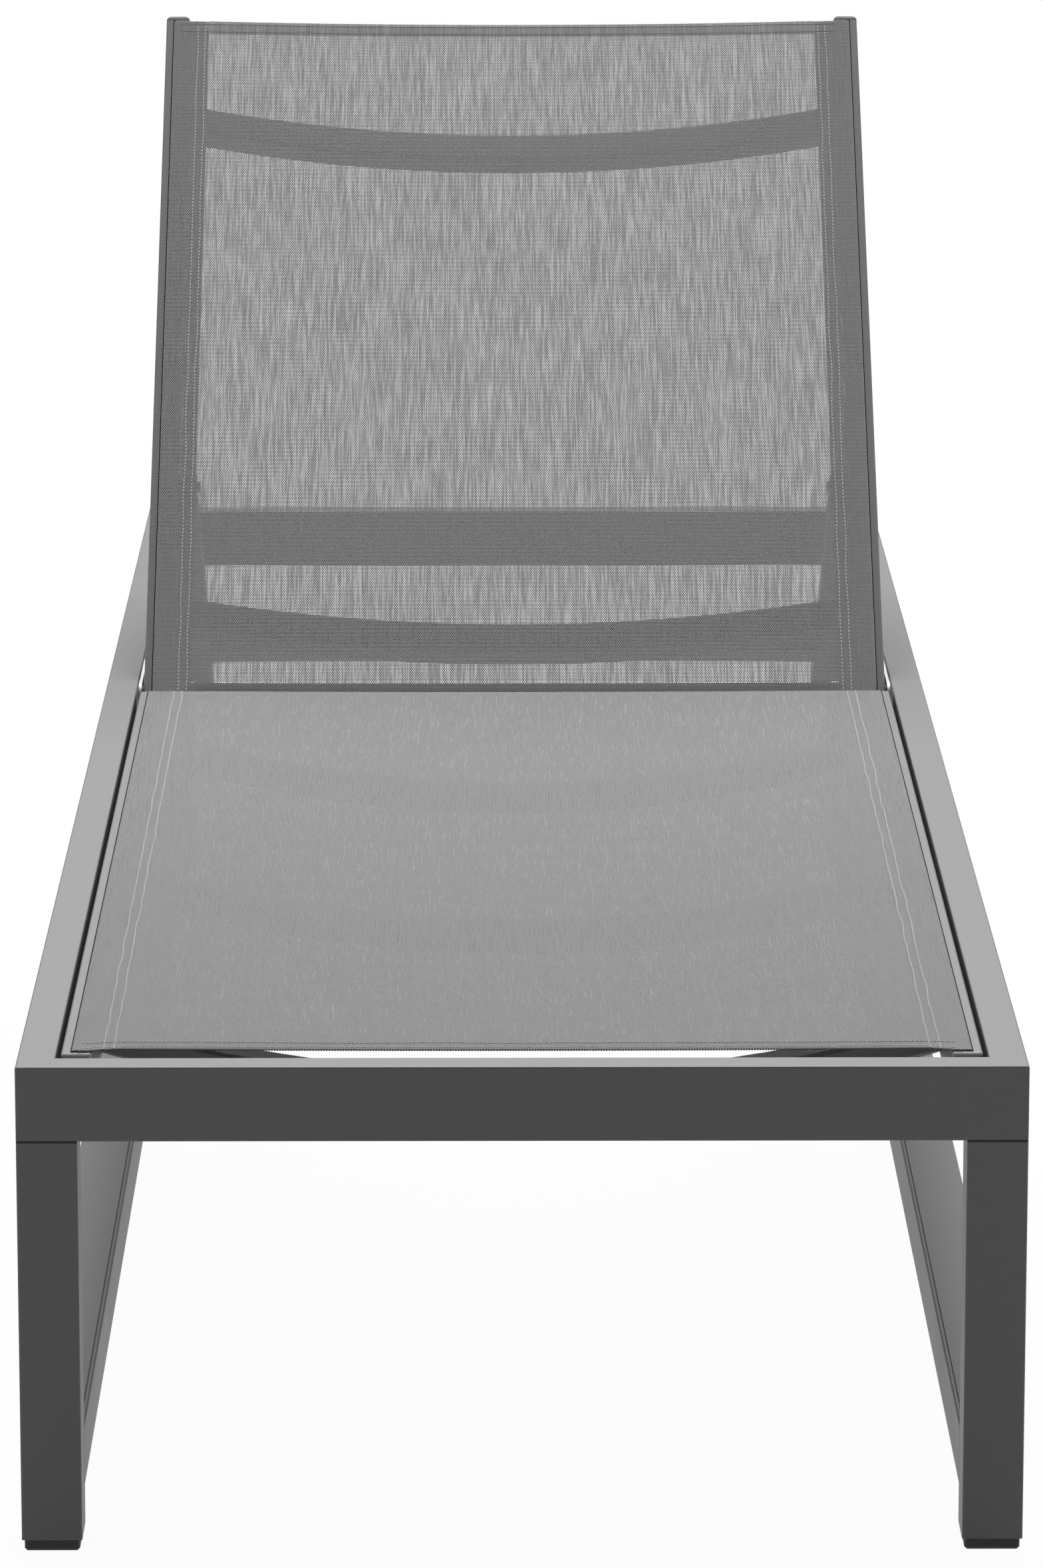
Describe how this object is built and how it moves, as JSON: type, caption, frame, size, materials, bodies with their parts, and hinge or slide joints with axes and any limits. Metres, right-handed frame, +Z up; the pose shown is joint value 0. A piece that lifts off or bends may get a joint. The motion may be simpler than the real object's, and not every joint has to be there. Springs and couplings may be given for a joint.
{
  "type": "reclining sun lounger",
  "caption": "Sun lounger with a stretched fabric seat, and a hinged back on a prop with notched racks, on a rectangular tube frame with square legs and side runners.",
  "frame": {"origin": "on the floor under the middle of the outer frame", "axes": "+Y from the foot end to the head end, +X to the right seen from the foot end, +Z up"},
  "size_m": [0.66, 2, 0.8042],
  "materials": {
    "powder_coat": "fine matt powder coat in mid grey on aluminium tube",
    "mesh_fabric": "open woven coated yarn in grey, with stitched hems",
    "black_plastic": "moulded matt black",
    "grey_plastic": "moulded matt grey",
    "spline_cord": "extruded round cord",
    "bright_steel": "stainless, turned",
    "plated_steel": "zinc plated, satin"
  },
  "bodies": {
    "frame": {"base_rail_left": "powder_coat", "base_rail_right": "powder_coat", "foot_cap_front_left": "black_plastic", "foot_cap_front_right": "black_plastic", "foot_cap_rear_left": "black_plastic", "foot_cap_rear_right": "black_plastic", "front_leg_left": "powder_coat", "front_leg_right": "powder_coat", "front_rail": "powder_coat", "hinge_bracket_left": "plated_steel", "hinge_bracket_right": "plated_steel", "hinge_bracket_screws": "bright_steel", "hinge_nuts": "bright_steel", "hinge_pins": "bright_steel", "hinge_washers": "black_plastic", "leg_bolts": "bright_steel", "leg_top_plugs": "black_plastic", "rack_bar_left": "powder_coat", "rack_bar_right": "powder_coat", "rack_hangers": "powder_coat", "rack_rivets": "bright_steel", "rack_screws": "bright_steel", "rear_leg_left": "powder_coat", "rear_leg_right": "powder_coat", "rear_rail": "powder_coat", "seat_foot_caps": "grey_plastic", "seat_head_caps": "black_plastic", "seat_rail_bolts": "bright_steel", "seat_rail_left": "powder_coat", "seat_rail_nuts": "bright_steel", "seat_rail_right": "powder_coat", "seat_rail_spacers": "black_plastic", "seat_sling": "mesh_fabric", "seat_splines": "spline_cord", "seat_spreader_front": "powder_coat", "seat_spreader_middle": "powder_coat", "seat_spreader_rear": "powder_coat", "seat_spreader_screws": "bright_steel", "side_rail_left": "powder_coat", "side_rail_right": "powder_coat"},
    "back": {"back_bottom_caps": "black_plastic", "back_rail_left": "powder_coat", "back_rail_right": "powder_coat", "back_sling": "mesh_fabric", "back_splines": "spline_cord", "back_spreader_lower": "powder_coat", "back_spreader_screws": "bright_steel", "back_spreader_upper": "powder_coat", "back_top_cap_left": "black_plastic", "back_top_cap_right": "black_plastic", "prop_pivot_bolts": "bright_steel", "prop_pivot_nuts": "bright_steel", "prop_washers": "black_plastic"},
    "prop": {"prop_arm_left": "powder_coat", "prop_arm_right": "powder_coat", "prop_crossbar": "powder_coat", "prop_rod": "plated_steel", "prop_sleeves": "black_plastic"}
  },
  "joints": [
    {"name": "back_hinge", "type": "hinge", "parent": "frame", "child": "back", "pos_m": [0, 0.227, 0.315], "axis": [1, 0, 0], "range_deg": [-40.3, 26.8]},
    {"name": "prop_pivot", "type": "hinge", "parent": "back", "child": "prop", "pos_m": [0, 0.40671, 0.4556], "axis": [1, 0, 0], "range_deg": [-43, 64.6]}
  ],
  "couplings": [
    {"joint": "prop_pivot", "follows": "back_hinge", "ratio": -1.6}
  ]
}
